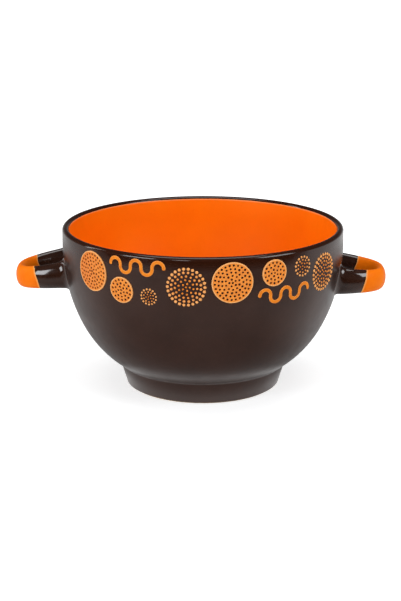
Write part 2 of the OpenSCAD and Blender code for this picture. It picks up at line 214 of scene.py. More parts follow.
# The side of the foot leans, with a cove above it and a round edge below
FOOT_R = FOOT_TOP_R - FOOT_FLARE
FOOT_LEAN = degrees(atan(FOOT_FLARE / FOOT_H))
foot_up = Vector((sin(radians(FOOT_LEAN)), cos(radians(FOOT_LEAN))))
foot_out = Vector((foot_up.y, -foot_up.x))
to_foot = Vector((FOOT_R, 0)) + COVE_R * foot_out - Vector(LOWER_C)
foot_share = to_foot.dot(foot_up)
cove_run = -foot_share - sqrt(foot_share ** 2 - to_foot.length_squared + (LOWER_R + COVE_R) ** 2)
COVE_C = tuple(Vector(LOWER_C) + to_foot + cove_run * foot_up)
COVE_ANGLE = degrees(atan2(LOWER_C[1] - COVE_C[1], COVE_C[0] - LOWER_C[0]))
edge_run = FOOT_ROUND * (1 - foot_up.x) / foot_up.y
EDGE_C = tuple(Vector((FOOT_R, 0)) + edge_run * foot_up - FOOT_ROUND * foot_out)
RECESS_R = EDGE_C[0] - RING_W

# The floor of the hollow curves in from where the wall ends
inner_end = polar(LOWER_C, LOWER_R - WALL, BELLY_END)
floor_drop = inner_end[1] - FLOOR_Z
floor_reach = FLOOR_CURVE_SHARE * floor_drop / cos(lower_end)
FLOOR_CURVE_R = floor_reach * (1 + sin(lower_end)) / cos(lower_end)
FLOOR_C = (inner_end[0] - floor_drop * tan(lower_end) - floor_reach, FLOOR_Z + FLOOR_CURVE_R)

LIP_R = WALL / 2
LIP_C = (RIM_R - LIP_R, BOWL_H - LIP_R)


def outer_line(d, low=0):
    """Half-outline of the outside, inset by d, from the lip down to the table or to height low."""
    last = degrees(asin(min(1, (EDGE_C[1] - low) / (FOOT_ROUND - d))))
    line = (arc(UPPER_C, UPPER_R - d, 0, BELLY_TURN)
            + arc(LOWER_C, LOWER_R - d, BELLY_TURN, COVE_ANGLE)[1:]
            + arc(COVE_C, COVE_R + d, 180 + COVE_ANGLE, 180 + FOOT_LEAN, COVE_STEP)
            + arc(EDGE_C, FOOT_ROUND - d, FOOT_LEAN, last, count=FOOT_EDGE_STEPS))
    return line if low else line + [(EDGE_C[0], 0)]


def hollow_line(d):
    """Half-outline of the hollow inside, at a distance d in from the outside."""
    return (arc(UPPER_C, UPPER_R - d, 0, BELLY_TURN)
            + arc(LOWER_C, LOWER_R - d, BELLY_TURN, BELLY_END)[1:]
            + arc(FLOOR_C, FLOOR_CURVE_R + WALL - d, BELLY_END, 90)
            + [(r, FLOOR_Z - WALL + d) for r in FLOOR_RINGS])


def recess_line(d, low=0):
    """Half-outline of the recess under the foot, at a depth d in its surface, down to height low."""
    corner = (RECESS_R - RECESS_ROUND, RECESS_DEPTH - RECESS_ROUND)
    return ([(r, RECESS_DEPTH + d) for r in RECESS_RINGS]
            + arc(corner, RECESS_ROUND + d, -90, 0, RECESS_STEP) + [(RECESS_R + d, low)])


def lip_line(d, a, b, count=LIP_STEPS):
    """Arc of the lip, inset by d: 0 is outside, 90 on top and 180 inside."""
    return arc(LIP_C, LIP_R - d, -a, -b, count=count)


def wall_r(z):
    """Radius of the bowl's outer face at a height."""
    if z >= CURVE_Z:
        return RIM_R
    if degrees(asin((CURVE_Z - z) / UPPER_R)) <= BELLY_TURN:
        return UPPER_C[0] + sqrt(UPPER_R ** 2 - (CURVE_Z - z) ** 2)
    return LOWER_C[0] + sqrt(LOWER_R ** 2 - (LOWER_C[1] - z) ** 2)


def wall_tilt(z):
    """Angle in radians by which the outer face looks down at a height."""
    if z >= CURVE_Z:
        return 0.0
    a = asin((CURVE_Z - z) / UPPER_R)
    return a if degrees(a) <= BELLY_TURN else asin((LOWER_C[1] - z) / LOWER_R)


def wall_gap(p):
    """Distance of a point outside the bowl's outer face."""
    rho = hypot(p.x, p.y)
    if p.z >= CURVE_Z:
        return rho - RIM_R
    for c, r in ((UPPER_C, UPPER_R), (LOWER_C, LOWER_R)):
        if c is LOWER_C or degrees(atan2(c[1] - p.z, rho - c[0])) <= BELLY_TURN:
            return hypot(rho - c[0], p.z - c[1]) - r


def wall_frame(turn, z):
    """Point of the outer face at a turn in radians and a height, and its ways across, up and out."""
    tilt = wall_tilt(z)
    away = Vector((sin(turn), -cos(turn), 0))
    across = Vector((cos(turn), sin(turn), 0))
    up = away * sin(tilt) + Vector((0, 0, cos(tilt)))
    out = away * cos(tilt) - Vector((0, 0, sin(tilt)))
    return away * wall_r(z) + Vector((0, 0, z)), across, up, out


def band_place(shares, turn):
    """Turn in radians and height of a place in the band, on the side of the bowl at turn."""
    return radians(turn + 90 * shares[0]), BOWL_H - BAND_H * shares[1]


# Mesh helpers
def finish_mesh(name, verts, faces, sharp=40, **attributes):
    """Smooth object with sharp edges above an angle, and with a value per point for each attribute."""
    mesh = bpy.data.meshes.new(name)
    mesh.from_pydata([tuple(v) for v in verts], [], faces)
    for key, values in attributes.items():
        mesh.attributes.new(key, "FLOAT", "POINT").data.foreach_set("value", values)
    bm = bmesh.new()
    bm.from_mesh(mesh)
    bmesh.ops.recalc_face_normals(bm, faces=bm.faces)
    bm.to_mesh(mesh)
    bm.free()
    mesh.shade_smooth()
    mesh.set_sharp_from_angle(angle=radians(sharp))
    obj = bpy.data.objects.new(name, mesh)
    bpy.context.scene.collection.objects.link(obj)
    return obj


def lathe(name, outline, closed, sides=LATHE_SIDES, sharp=40):
    """Turned form; outline(azimuth) gives the points, closed joins the last to the first."""
    verts, faces, rows, poles = [], [], [], {}
    for i in range(sides):
        a = 2 * pi * i / sides
        row = []
        for k, (r, z) in enumerate(outline(a)):
            if r > 0:
                row.append(len(verts))
                verts.append((r * cos(a), r * sin(a), z))
                continue
            if k not in poles:
                poles[k] = len(verts)
                verts.append((0, 0, z))
            row.append(poles[k])
        rows.append(row)
    n = len(rows[0])
    for i in range(sides):
        a, b = rows[i], rows[(i + 1) % sides]
        for k in range(n if closed else n - 1):
            corners = dict.fromkeys((a[k], a[(k + 1) % n], b[(k + 1) % n], b[k]))
            if len(corners) > 2:
                faces.append(list(corners))
    return finish_mesh(name, verts, faces, sharp)


def bands(count, n, closed=False):
    """Faces between rings of n points that follow each other; closed joins the last to the first."""
    faces = []
    for i in range(count if closed else count - 1):
        a, b = i * n, (i + 1) % count * n
        faces += [(a + j, a + (j + 1) % n, b + (j + 1) % n, b + j) for j in range(n)]
    return faces


def shell(rows, values):
    """Points, faces and values of a shell whose rings close on the first one."""
    flat_values = [v for row in values for v in row]
    return [p for row in rows for p in row], bands(len(rows), len(rows[0]), True), flat_values


def join(parts):
    """Points, faces and values of several parts as one."""
    verts, faces, values = [], [], []
    for part_verts, part_faces, part_values in parts:
        base = len(verts)
        verts += part_verts
        values += part_values
        faces += [tuple(i + base for i in face) for face in part_faces]
    return verts, faces, values


class Nodes:
    """Node tree of a material or world: each call adds one node, fed by constants or other nodes' outputs."""

    def __init__(self, owner):
        owner.use_nodes = True
        self.tree = owner.node_tree
        self.tree.nodes.clear()

    def node(self, kind, settings=(), inputs=()):
        n = self.tree.nodes.new("ShaderNode" + kind)
        for key, value in dict(settings).items():
            setattr(n, key, value)
        for key, value in dict(inputs).items():
            if isinstance(value, bpy.types.NodeSocket):
                self.tree.links.new(value, n.inputs[key])
            else:
                n.inputs[key].default_value = value
        return n

    def axes(self, place):
        return tuple(self.node("SeparateXYZ", inputs={0: place}).outputs)

    def span(self, value, a, b, c, d):
        """Value taken straight from the span a..b to c..d."""
        return self.node("MapRange", inputs={0: value, 1: a, 2: b, 3: c, 4: d}).outputs[0]

    def fade(self, value, a, b, c, d):
        """Value taken smoothly from the span a..b to c..d."""
        smooth = {"interpolation_type": "SMOOTHSTEP"}
        return self.node("MapRange", smooth, {0: value, 1: a, 2: b, 3: c, 4: d}).outputs[0]

    def maths(self, operation, *values):
        return self.node("Math", {"operation": operation}, dict(enumerate(values))).outputs[0]

    def blend(self, factor, a, b):
        """Value between a and b."""
        return self.node("Mix", {"data_type": "FLOAT"}, {0: factor, 2: a, 3: b}).outputs[0]

    def mix(self, factor, a, b):
        """Colour between a and b."""
        a, b = (c if isinstance(c, bpy.types.NodeSocket) else (*c, 1) for c in (a, b))
        return self.node("Mix", {"data_type": "RGBA"}, {0: factor, 6: a, 7: b}).outputs[2]


class Shader(Nodes):
    """Material; a noise of scale s has patches of about 1 / s metres."""

    def __init__(self, name):
        self.material = bpy.data.materials.new(name)
        super().__init__(self.material)
        self.place = self.node("TexCoord").outputs["Object"]

    def noise(self, scale, detail, rough=0.5):
        inputs = {"Vector": self.place, "Scale": scale, "Detail": detail, "Roughness": rough}
        return self.node("TexNoise", inputs=inputs).outputs["Fac"]

    def mottle(self, dark, light, scale, detail=4, rough=0.5, spread=0.15):
        """Colour that wanders between two tones."""
        cloud = self.span(self.noise(scale, detail, rough), 0.5 - spread, 0.5 + spread, 0, 1)
        return self.mix(cloud, dark, light)

    def specks(self, base, colour, scale, a, b, most):
        """Colour with fine specks of another, up to a share of it."""
        return self.mix(self.span(self.noise(scale, 2), a, b, 0, most), base, colour)

    def roughness(self, scale, low, high):
        return self.span(self.noise(scale, 3), 0.3, 0.7, low, high)

    def attribute(self, key):
        return self.node("Attribute", {"attribute_name": key}).outputs["Fac"]

    def bump(self, noise, strength, distance, over=None):
        """Bumps of a noise, over those of another bump node."""
        inputs = {"Height": self.noise(*noise), "Strength": strength, "Distance": distance}
        if over:
            inputs["Normal"] = over
        return self.node("Bump", inputs=inputs).outputs[0]

    def surface(self, **inputs):
        named = {key.replace("_", " "): value for key, value in inputs.items()}
        shader = self.node("BsdfPrincipled", inputs=named)
        self.node("OutputMaterial", inputs={"Surface": shader.outputs[0]})
        return self.material


# Materials: places are distances from the rim, or from the middle of a leg's root
LIP_FADE = (0.0085, 0.0020)
LINING_EDGE = (0.0021, 0.0014)
HALO_ACROSS = (0.0140, 0.0150)
HALO_UP = (0.0120, 0.0135)
HALO_SQUARE = 2.4
HALO_RAGGED_SHARE = 0.12
HALO_FADE_SHARES = (0.55, 1.20)
HALO_FROM_X = 0.01
STAIN_FADE_SHARES = (0.86, 0.99)
MEDIUM_STAIN_SHARE = 0.82
SMALL_STAIN_SHARE = 0.66
REDDER_X = (-0.056, -0.042)


def root_halo(s, sign, drop):
    """Share that is 1 on the wall at the roots of one handle and falls to 0 round them."""
    x, y, z = s.axes(s.place)
    leg, root_z = (LOOP_W - STRAP_T) / 2, BOWL_H - drop
    across = s.span(s.maths("ABSOLUTE", y), leg - HALO_ACROSS[0], leg + HALO_ACROSS[1], -1, 1)
    up = s.span(z, root_z - HALO_UP[0], root_z + HALO_UP[1], -1, 1)
    across.node.clamp = up.node.clamp = False
    powers = [s.maths("POWER", s.maths("ABSOLUTE", way), HALO_SQUARE) for way in (across, up)]
    ragged = s.span(s.noise(90, 2), 0.3, 0.7, -HALO_RAGGED_SHARE, HALO_RAGGED_SHARE)
    near = s.fade(s.maths("ADD", s.maths("ADD", *powers), ragged), *HALO_FADE_SHARES, 1, 0)
    return s.maths("MULTIPLY", near, s.span(x, 0, sign * HALO_FROM_X, 0, 1))


def under(s, *kinds):
    """Share that is 1 on the coat under round decorations of these kinds and 0 from their edge."""
    spots = []
    for places, r in kinds:
        for shares in places:
            for side in (0, 180):
                centre = wall_frame(*band_place(shares, side))[0]
                away = s.node("VectorMath", {"operation": "DISTANCE"}, {0: s.place, 1: centre})
                fade = [r * share for share in STAIN_FADE_SHARES]
                spots.append(s.fade(away.outputs["Value"], *fade, 1, 0))
    while len(spots) > 1:
        spots = spots[2:] + [s.maths("MAXIMUM", spots[0], spots[1])]
    return spots[0]


def brown_matte():
    s = Shader("brown_satin_glaze")
    base = s.mottle((0.038, 0.0152, 0.0096), (0.047, 0.0195, 0.0128), 55)
    base = s.specks(base, (0.075, 0.036, 0.025), 1500, 0.60, 0.75, 0.35)
    rough = s.roughness(160, 0.30, 0.38)
    # The coat is darker, warmer and shinier over the lip
    lip = s.fade(s.axes(s.place)[2], BOWL_H - LIP_FADE[0], BOWL_H - LIP_FADE[1], 0, 1)
    base = s.mix(lip, base, (0.027, 0.0068, 0.0025))
    rough = s.blend(lip, rough, 0.12)
    # Glossy coat that ran on to the wall round the roots of the handles
    gloss = s.maths("MAXIMUM", root_halo(s, -1, LEFT_ROOT_DROP), root_halo(s, 1, RIGHT_ROOT_DROP))
    base = s.mix(gloss, base, (0.028, 0.0095, 0.0052))
    rough = s.blend(gloss, rough, 0.30)
    # The enamel stains the coat amber between the beads; under the discs the coat is stained and darkened as
    # painted shade, which shows in their holes
    beads = under(s, (LARGE_MEDALLIONS, LARGE_DISC_R),
                  (MEDIUM_MEDALLIONS, MEDIUM_DISC_R * MEDIUM_STAIN_SHARE),
                  (SMALL_MEDALLIONS, MEDIUM_DISC_R * SMALL_STAIN_SHARE))
    holes = under(s, (LARGE_DISCS, LARGE_DISC_R), (MEDIUM_DISCS, MEDIUM_DISC_R))
    base = s.mix(beads, base, (0.038, 0.0072, 0.0012))
    base = s.mix(holes, base, (0.014, 0.0035, 0.0012))
    rough = s.blend(s.maths("MAXIMUM", beads, holes), rough, 0.6)
    normal = s.bump((140, 3), 0.5, 0.00012, over=s.bump((2600, 2), 0.35, 0.00002))
    return s.surface(Base_Color=base, Roughness=rough, Normal=normal, Specular_IOR_Level=0.5)


def lining_orange():
    s = Shader("orange_lining_glaze")
    base = s.mottle((0.91, 0.176, 0.0008), (0.96, 0.202, 0.0012), 34)
    base = s.specks(base, (0.86, 0.150, 0.0008), 900, 0.62, 0.78, 0.5)
    # The coat is thin and pale along its edge on the lip
    edge = s.fade(s.axes(s.place)[2], BOWL_H - LINING_EDGE[0], BOWL_H - LINING_EDGE[1], 0, 0.6)
    base = s.mix(edge, base, (0.96, 0.42, 0.16))
    rough = s.roughness(120, 0.40, 0.50)
    normal = s.bump((110, 3), 0.5, 0.0001, over=s.bump((1800, 2), 0.3, 0.00002))
    return s.surface(Base_Color=base, Roughness=rough, Normal=normal, Specular_IOR_Level=0.08)


def brown_gloss():
    s = Shader("brown_gloss_glaze")
    base = s.mottle((0.024, 0.0080, 0.0040), (0.036, 0.0125, 0.0068), 150)
    # The coat is darkest along its edge at the dip
    base = s.mix(s.fade(s.attribute("edge"), 0, 0.0006, 0.9, 0), base, (0.008, 0.003, 0.002))
    rough = s.roughness(300, 0.08, 0.14)
    normal = s.bump((170, 2), 0.5, 0.0001)
    return s.surface(Base_Color=base, Roughness=rough, Normal=normal, Specular_IOR_Level=0.85)


def handle_orange():
    s = Shader("orange_handle_glaze")
    base = s.mottle((0.90, 0.166, 0.0020), (0.95, 0.200, 0.0030), 130)
    base = s.specks(base, (0.95, 0.25, 0.008), 1300, 0.6, 0.75, 0.4)
    # The coat is pale along its edges
    base = s.mix(s.fade(s.attribute("edge"), 0.0002, 0.0009, 0.85, 0), base, (0.96, 0.42, 0.11))
    rough = s.roughness(260, 0.32, 0.44)
    normal = s.bump((240, 3), 0.6, 0.00012, over=s.bump((2200, 2), 0.3, 0.00002))
    return s.surface(Base_Color=base, Roughness=rough, Normal=normal, Specular_IOR_Level=0.06)


def enamel_orange():
    s = Shader("orange_enamel")
    base = s.mottle((0.76, 0.188, 0.008), (0.90, 0.256, 0.014), 420)
    # The enamel is darker and redder towards the bowl's left
    base = s.mix(s.fade(s.axes(s.place)[0], *REDDER_X, 0.9, 0), base, (0.74, 0.158, 0.008))
    base = s.mix(s.attribute("pale"), base, (0.94, 0.47, 0.17))
    rough = s.roughness(700, 0.34, 0.48)
    normal = s.bump((1500, 3), 0.5, 0.00006)
    return s.surface(Base_Color=base, Roughness=rough, Normal=normal, Specular_IOR_Level=0.12)


def clay():
    s = Shader("bare_clay")
    base = s.mottle((0.50, 0.36, 0.22), (0.66, 0.51, 0.34), 240, 5, 0.6, 0.2)
    base = s.specks(base, (0.20, 0.12, 0.07), 2400, 0.66, 0.74, 0.7)
    rough = s.roughness(500, 0.78, 0.92)
    return s.surface(Base_Color=base, Roughness=rough, Normal=s.bump((3200, 4), 0.8, 0.00008))


CLAY = clay()
LINING = lining_orange()
MATTE = brown_matte()
GLOSS = brown_gloss()
TIP = handle_orange()
ENAMEL = enamel_orange()


def dress(obj, material, slot, *nodes):
    """Gives a piece its material, and puts it on the bowl in place of its CAD nodes; slot is not used."""
    obj.data.materials.append(material)
    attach(obj, "root")
    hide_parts(*nodes)
    return obj


# The turned forms
def sway(a, phase, size):
    """Slow wander of a hand-cut or hand-dipped edge round the axis."""
    slow, medium, quick = sin(3 * a + phase), sin(7 * a + 2.1 * phase), sin(17 * a + 3.7 * phase)
    return size * (0.5 * slow + 0.3 * medium + 0.2 * quick)


def seam(a):
    """Where the brown coat meets the lining, in degrees over the lip."""
    return 90 + LIP_TURN + sway(a, 0.7, SEAM_SWAY)


def foot_edge(a):
    """Height down to which the foot is glazed."""
    return FOOT_BARE + sway(a, 1.9, FOOT_SWAY)


def clay_outline(a):
    lip = lip_line(GLAZE, 0, 180)
    return recess_line(GLAZE) + outer_line(GLAZE)[::-1] + lip[1:-1] + hollow_line(WALL - GLAZE)


def coat_outline(a):
    top, low = seam(a), foot_edge(a)
    face, back = outer_line(0, low), outer_line(GLAZE, low)
    rim = [polar(LIP_C, LIP_R - GLAZE * depth, -top) for depth in (0.7, 0.35)]
    # The lower edge of the coat is rounded, as glaze is where it was wiped off
    middle = (face[-1][0] + back[-1][0]) / 2
    for side in (face, back):
        side[-1] = (side[-1][0] * (1 - COAT_ROUND_SHARE) + middle * COAT_ROUND_SHARE, low)
    return lip_line(0, top, 0)[:-1] + face + back[::-1] + lip_line(GLAZE, 0, top)[1:] + rim


def lining_outline(a):
    top = seam(a)
    return (lip_line(GLAZE, top, 180, SEAM_STEPS)[:-1] + hollow_line(WALL - GLAZE) + hollow_line(WALL)[::-1]
            + lip_line(0, 180, top, SEAM_STEPS)[1:] + [polar(LIP_C, LIP_R - GLAZE * 0.5, -top)])


def recess_outline(a):
    low = foot_edge(a + 1)
    return recess_line(GLAZE, low) + recess_line(0, low)[::-1]


dress(lathe("bowl_clay", clay_outline, False), CLAY, "clay", "bowl_body")
dress(lathe("outer_coat", coat_outline, True, sharp=50), MATTE, "brown_matte", "outer_glaze")
dress(lathe("lining_coat", lining_outline, True, sharp=50), LINING, "lining_orange", "lining_glaze")
dress(lathe("recess_coat", recess_outline, True, RECESS_SIDES, 50), MATTE, "brown_matte", "recess_glaze")


# Handles
PHIS = [2 * pi * j / SECTION_SIDES for j in range(SECTION_SIDES)]
# Value of "edge" on the inner face of a coat, where it counts as far from any edge
INNER_FACE = 0.01


class Strap:
    """One bent strap: points by the distance s along it and the angle phi round its section."""

    def __init__(self, sign, reach, root_drop, dip, lean, bend_swell):
        self.sign, self.reach, self.bend_swell = sign, reach, bend_swell
        self.root_z, self.tip_z = BOWL_H - root_drop, BOWL_H - TIP_DROP
        start, bend_x = RIM_R - LEG_START, RIM_R - LOOP_START
        a, b = reach - STRAP_T / 2 - bend_x, (LOOP_W - STRAP_T) / 2
        xs = [start + (bend_x - start) * i / LEG_STEPS for i in range(LEG_STEPS)]
        # Each point of the middle line has the way that the strap's outer face looks there
        self.line = [(Vector((x, -b)), Vector((0, -1))) for x in xs]
        power = LOOP_SQUARE
        for i in range(LOOP_STEPS + 1):
            t = radians(180 * i / LOOP_STEPS - 90)
            c, s = cos(t), sin(t)
            k = ((abs(c) / a) ** power + (abs(s) / b) ** power) ** (-1 / power)
            p = Vector((k * c, k * s))
            out = Vector(((abs(p.x) / a) ** (power - 1) / a, copysign((abs(p.y) / b) ** (power - 1), s) / b))
            self.line.append((Vector((bend_x, 0)) + p, out.normalized()))
        self.line += [(Vector((x, b)), Vector((0, 1))) for x in reversed(xs)]
        self.at = [0.0]
        for (p, _), (q, _) in zip(self.line, self.line[1:]):
            self.at.append(self.at[-1] + (q - p).length)
        self.length = self.at[-1]
        lean, twist = radians(lean), radians(DIP_TURN)
        self.dip_middle = Vector((reach - dip, 0, self.tip_z))
        self.dip_way = Vector((cos(lean) * cos(twist), sign * cos(lean) * sin(twist), -sin(lean)))

    def station(self, s):
        """Point of the middle line, and the way out from it."""
        hi = bisect(self.at, s, 1, len(self.at) - 1)
        share = (s - self.at[hi - 1]) / (self.at[hi] - self.at[hi - 1])
        (p, out_p), (q, out_q) = self.line[hi - 1], self.line[hi]
        return p.lerp(q, share), out_p.lerp(out_q, share).normalized()

    def local(self, s, phi, grow):
        """Point of a strap that runs along +X, at a height grow over its surface."""
        p, out = self.station(s)
        run = min(1, (self.reach - p.x) / (self.reach - RIM_R))
        swell_share = min(1, max(0, run - LEG_SWELL_START_SHARE) / LEG_SWELL_SHARE)
        half_t = STRAP_T / 2 + grow + LEG_SWELL * swell_share ** 2
        # The bend of the loop is thicker on its inner side
        if cos(phi) < 0:
            half_t += self.bend_swell * max(0, 1 - run / BEND_SHARE) ** 1.5
        half_h = (STRAP_TIP_H + (STRAP_ROOT_H - STRAP_TIP_H) * run ** 2) / 2 + grow
        c, t = cos(phi), sin(phi)
        x = half_t * copysign(abs(c) ** (2 / STRAP_SQUARE), c)
        z = half_h * copysign(abs(t) ** (2 / STRAP_SQUARE), t)
        middle = self.tip_z + (self.root_z - self.tip_z) * run
        return Vector((p.x + out.x * x, p.y + out.y * x, middle + z))

    def point(self, s, phi, grow):
        p = self.local(s, phi, grow)
        return Vector((p.x * self.sign, p.y, p.z))

    def ring(self, at, grow):
        """Points round the strap, with their distances along it and their heights over its surface."""
        return [self.point(s, phi, g) for s, phi, g in zip(at, PHIS, grow)]

    def solve(self, leg, test):
        """Distance along the strap, from its root on one leg, at which test changes from below zero."""
        lo, hi = (0, self.length / 2) if leg == 0 else (self.length, self.length / 2)
        for _ in range(HALVINGS):
            mid = (lo + hi) / 2
            if test(mid) < 0:
                lo = mid
            else:
                hi = mid
        return (lo + hi) / 2

    def wall_at(self, leg, phi, grow, gap):
        """Distance along the strap at which it is a gap away from the wall."""
        return self.solve(leg, lambda s: wall_gap(self.local(s, phi, grow)) - gap)

    def dip_at(self, leg, phi):
        """Distance along the strap at which the orange coat begins."""
        wander = DIP_SWAY * sin(2 * phi + 1.3 + 2 * leg + self.sign) + DIP_RIPPLE * sin(5 * phi + leg)

        def past_edge(s):
            return (self.local(s, phi, 0) - self.dip_middle).dot(self.dip_way) - wander

        return self.solve(leg, past_edge)


def root_fillet(phi):
    """Radius where a leg meets the wall: tightest under the leg."""
    return ROOT_FILLET - UNDER_TIGHTER * max(0, -sin(phi)) ** 1.5


def root_curve(strap, leg, inset, sunk):
    """Rings of a leg's fillet, inset below its surface, from one sunk in the wall to one on the leg."""
    rounds = [root_fillet(phi) for phi in PHIS]
    rings = [([strap.wall_at(leg, phi, r, -inset - sunk) for phi, r in zip(PHIS, rounds)], rounds)]
    for i in range(FILLET_STEPS, -1, -1):
        a = radians(90 * i / FILLET_STEPS)
        grow = [r - (r + inset) * cos(a) for r in rounds]
        gaps = [r - (r + inset) * sin(a) for r in rounds]
        rings.append(([strap.wall_at(leg, *place) for place in zip(PHIS, grow, gaps)], grow))
    return rings


def root_sleeve(strap, leg):
    """Coat of one leg, from its fillet on the wall to the edge of the dip."""
    dips = [strap.dip_at(leg, phi) for phi in PHIS]
    outer = root_curve(strap, leg, 0, COAT_SUNK)
    inner = root_curve(strap, leg, GLAZE, COAT_SUNK)[:-1]
    tops, _ = outer.pop()
    for i in range(SLEEVE_STEPS + 1):
        at = [top + (dip - top) * i / SLEEVE_STEPS for top, dip in zip(tops, dips)]
        grow = [-THINNING * max(0, 1 - abs(dip - s) / THINNING_RUN) ** 2 for s, dip in zip(at, dips)]
        outer.append((at, grow))
        inner.append((at, [g - GLAZE for g in grow]))
    rings = [strap.ring(*ring) for ring in outer + inner[::-1]]
    edge = [[abs(dip - s) for s, dip in zip(at, dips)] for at, _ in outer]
    return shell(rings, edge + [[INNER_FACE] * SECTION_SIDES] * len(inner))


def tip_sleeve(strap):
    """Coat of the dipped end, with a rounded edge at each leg."""
    first, last = [[strap.dip_at(leg, phi) for phi in PHIS] for leg in (0, 1)]
    edge_run = TIP_EDGE[-1][0]
    outer = [([a + run for a in first], grow) for run, grow in TIP_EDGE]
    for i in range(1, TIP_STEPS):
        share = i / TIP_STEPS
        outer.append(([a + edge_run + (b - a - 2 * edge_run) * share for a, b in zip(first, last)], 0))
    outer += [([b - run for b in last], grow) for run, grow in reversed(TIP_EDGE)]
    inner = [(at, -GLAZE) for at, _ in reversed(outer[1:-1])]
    rings = [strap.ring(at, [grow] * SECTION_SIDES) for at, grow in outer + inner]
    edge = [[min(s - a, b - s) for s, a, b in zip(at, first, last)] for at, _ in outer]
    return shell(rings, edge + [[INNER_FACE] * SECTION_SIDES] * len(inner))


def strap_core(strap):
    """Clay of one handle: a capped tube that follows the inside of the coats."""
    inset, n = GLAZE + CORE_GAP, SECTION_SIDES
    first, last = [root_curve(strap, leg, inset, CORE_SUNK) for leg in (0, 1)]
    rings = [strap.ring(*ring) for ring in first]
    for i in range(1, CORE_STEPS):
        at = [a + (b - a) * i / CORE_STEPS for a, b in zip(first[-1][0], last[-1][0])]
        rings.append(strap.ring(at, [-inset] * n))
    rings += [strap.ring(*ring) for ring in reversed(last)]
    verts = [p for ring in rings for p in ring]
    faces = bands(len(rings), n)
    for base in (0, (len(rings) - 1) * n):
        faces += [(base + j, base + (j + 1) % n, len(verts)) for j in range(n)]
        verts.append(sum(verts[base:base + n], Vector((0, 0, 0))) / n)
    return verts, faces


def handle(side, strap):
    """The clay of one handle, the coat of its legs and the coat of its dipped end."""
    core = finish_mesh(f"{side}_handle_clay", *strap_core(strap))
    dress(core, CLAY, "clay", f"{side}_handle")
    verts, faces, edge = join([root_sleeve(strap, leg) for leg in (0, 1)])
    legs = finish_mesh(f"{side}_root_coat", verts, faces, 50, edge=edge)
    dress(legs, GLOSS, "brown_gloss", f"{side}_root_glaze")
    verts, faces, edge = tip_sleeve(strap)
    tip = finish_mesh(f"{side}_tip_coat", verts, faces, 60, edge=edge)
    dress(tip, TIP, "handle_orange", f"{side}_tip_glaze")


handle("left", Strap(-1, LEFT_REACH, LEFT_ROOT_DROP, LEFT_DIP, LEFT_LEAN, LEFT_BEND_SWELL))
handle("right", Strap(1, RIGHT_REACH, RIGHT_ROOT_DROP, RIGHT_DIP, RIGHT_LEAN, RIGHT_BEND_SWELL))


# Decoration
class Place:
    """Flat frame that touches the wall; lay() puts a flat point on the wall at a height above it."""

    def __init__(self, shares, turn):
        self.middle, self.across, self.up, self.out = wall_frame(*band_place(shares, turn))

    def lay(self, u, v, h):
        p = self.middle + self.across * u + self.up * v
        for _ in range(LAY_STEPS):
            p += self.out * (h - wall_gap(p))
        return p


def ring_places(counts, turns, pitch):
    """Middle and rings of a round pattern: ring number, angle and distance of each member."""
    yield 0, 0.0, 0.0
    for k, (count, turn) in enumerate(zip(counts, turns), 1):
        for i in range(count):
            yield k, radians(turn + 360 * i / count), k * pitch


def circle(x, y, r, n):
    return [(x + r * cos(2 * pi * i / n), y + r * sin(2 * pi * i / n)) for i in range(n)]


def disc(place, radius, counts, turns, seed):
    """Perforated disc with a raised border: every outline is a loop of points laid on the wall."""
    rng = random.Random(seed)
    verts, faces, pale = [], [], []

    def step_down(x, y, n, profile):
        """Loops of points, each by radius, height and paleness, with faces between them."""
        loops = []
        for r, h, tone in profile:
            loops.append(range(len(verts), len(verts) + n))
            verts.extend(place.lay(u, v, h) for u, v in circle(x, y, r, n))
            pale.extend([tone] * n)
        for a, b in zip(loops, loops[1:]):
            faces.extend((a[i], a[(i + 1) % n], b[(i + 1) % n], b[i]) for i in range(n))
        return loops

    def fill(rings):
        """Face between an outer ring and the holes in it: each ring is a middle, a radius and a loop."""
        points, ids, owners, edges = [], [], [], []
        for owner, (x, y, r, loop) in enumerate(rings):
            first, n = len(points), len(loop)
            points += [Vector(p) * MM for p in circle(x, y, r, n)]
            ids += loop
            owners += [owner] * n
            edges += [(first + i, first + (i + 1) % n) for i in range(n)]
        result = geometry.delaunay_2d_cdt(points, edges, [], 0, 1e-6)
        triangles, sources = result[2], result[3]
        if not all(sources):
            raise ValueError("a hole touches another")
        for triangle in triangles:
            corners = [sources[i][0] for i in triangle]
            touched = {owners[i] for i in corners}
            # A triangle on one hole alone would close it
            if len(touched) > 1 or touched == {0}:
                faces.append(tuple(ids[i] for i in corners))

    rim = step_down(0, 0, DISC_SIDES, [(radius - inset, h, tone) for inset, h, tone in DISC_EDGE])
    top = [(0, 0, radius - DISC_EDGE[-1][0], rim[-1])]
    bottom = [(0, 0, radius, rim[0])]
    for _, t, r in ring_places(counts, turns, HOLE_PITCH):
        x = r * cos(t) + rng.uniform(-1, 1) * HOLE_SHIFT
        y = r * sin(t) + rng.uniform(-1, 1) * HOLE_SHIFT
        size = HOLE_R * rng.uniform(0.86, 1.1)
        hole = step_down(x, y, HOLE_SIDES, [(size + wider, h, tone) for wider, h, tone in HOLE_EDGE])
        top.append((x, y, size + HOLE_EDGE[0][0], hole[0]))
        bottom.append((x, y, size, hole[-1]))
    fill(top)
    fill(bottom)
    return verts, faces, pale


